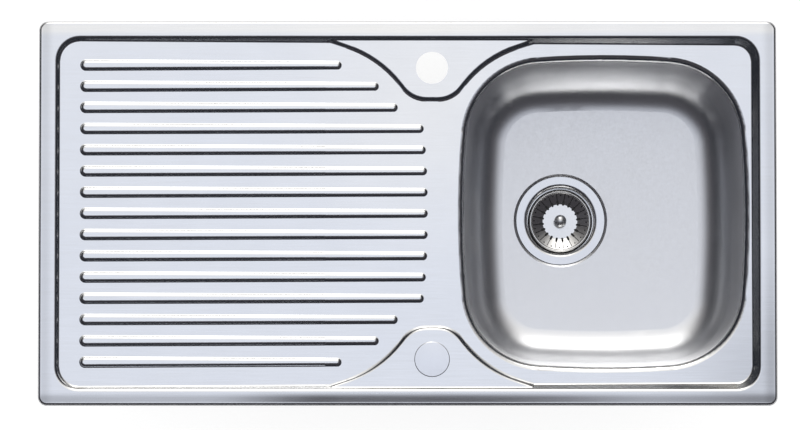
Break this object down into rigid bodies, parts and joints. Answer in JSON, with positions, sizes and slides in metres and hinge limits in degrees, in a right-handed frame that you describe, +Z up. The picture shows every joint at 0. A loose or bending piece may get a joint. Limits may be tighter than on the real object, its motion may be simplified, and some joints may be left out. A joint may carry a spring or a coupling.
{
  "type": "kitchen sink",
  "caption": "Inset stainless kitchen sink with a rounded bowl, a ribbed drainboard, two tap ledges, a basket strainer waste and clips that grip the worktop.",
  "frame": {"origin": "centre of the rim's outline, on the worktop's upper face, which is the underside of the rim seal", "axes": "+X along the sink to the bowl side, +Y to the back with the open tap hole, +Z up"},
  "size_m": [0.94, 0.49, 0.248],
  "materials": {
    "deck_steel": "satin stainless, polished along the length",
    "bowl_steel": "matt satin stainless",
    "polished_steel": "polished stainless",
    "zinc_steel": "zinc plated steel",
    "rubber": "black rubber",
    "foam": "closed cell foam strip",
    "sound_pad": "bitumen sound pad",
    "plastic": "white moulded polypropylene",
    "black_plastic": "black moulded nylon",
    "brass": "turned brass"
  },
  "bodies": {
    "sink": {"bowl": "bowl_steel", "bowl_pad": "sound_pad", "clip_brackets": "zinc_steel", "clip_rail_back": "zinc_steel", "clip_rail_front": "zinc_steel", "clip_rail_left": "zinc_steel", "clip_rail_right": "zinc_steel", "clip_screws": "zinc_steel", "drainer_pad": "sound_pad", "flange_seal": "rubber", "lower_seal": "rubber", "plug_cover": "polished_steel", "plug_gasket": "rubber", "plug_washer": "zinc_steel", "plug_wing_nut": "black_plastic", "rim_seal": "foam", "sink_top": "deck_steel", "waste_flange": "polished_steel", "waste_housing": "plastic", "waste_insert": "brass", "waste_outlet": "plastic", "waste_screw": "polished_steel"},
    "strainer": {"basket": "polished_steel", "stopper_rubber": "rubber", "stem": "polished_steel", "knob": "polished_steel"},
    "claw_1": {"claw_1": "zinc_steel"},
    "claw_2": {"claw_2": "zinc_steel"},
    "claw_3": {"claw_3": "zinc_steel"},
    "claw_4": {"claw_4": "zinc_steel"},
    "claw_5": {"claw_5": "zinc_steel"},
    "claw_6": {"claw_6": "zinc_steel"},
    "claw_7": {"claw_7": "zinc_steel"},
    "claw_8": {"claw_8": "zinc_steel"}
  },
  "joints": [
    {"name": "strainer_lift", "type": "slide", "parent": "sink", "child": "strainer", "axis": [0, 0, 1], "range_m": [0, 0.22]},
    {"name": "claw_1_turn", "type": "hinge", "parent": "sink", "child": "claw_1", "pos_m": [-0.31, 0.221, -0.0453], "axis": [0, 0, 1], "range_deg": [0, 90]},
    {"name": "claw_2_turn", "type": "hinge", "parent": "sink", "child": "claw_2", "pos_m": [-0.01, 0.221, -0.0453], "axis": [0, 0, 1], "range_deg": [0, 90]},
    {"name": "claw_3_turn", "type": "hinge", "parent": "sink", "child": "claw_3", "pos_m": [0.29, 0.221, -0.0453], "axis": [0, 0, 1], "range_deg": [0, 90]},
    {"name": "claw_4_turn", "type": "hinge", "parent": "sink", "child": "claw_4", "pos_m": [-0.31, -0.221, -0.0453], "axis": [0, 0, 1], "range_deg": [0, 90]},
    {"name": "claw_5_turn", "type": "hinge", "parent": "sink", "child": "claw_5", "pos_m": [-0.01, -0.221, -0.0453], "axis": [0, 0, 1], "range_deg": [0, 90]},
    {"name": "claw_6_turn", "type": "hinge", "parent": "sink", "child": "claw_6", "pos_m": [0.29, -0.221, -0.0453], "axis": [0, 0, 1], "range_deg": [0, 90]},
    {"name": "claw_7_turn", "type": "hinge", "parent": "sink", "child": "claw_7", "pos_m": [-0.446, 0, -0.0453], "axis": [0, 0, 1], "range_deg": [0, 90]},
    {"name": "claw_8_turn", "type": "hinge", "parent": "sink", "child": "claw_8", "pos_m": [0.446, 0, -0.0453], "axis": [0, 0, 1], "range_deg": [0, 90]}
  ]
}
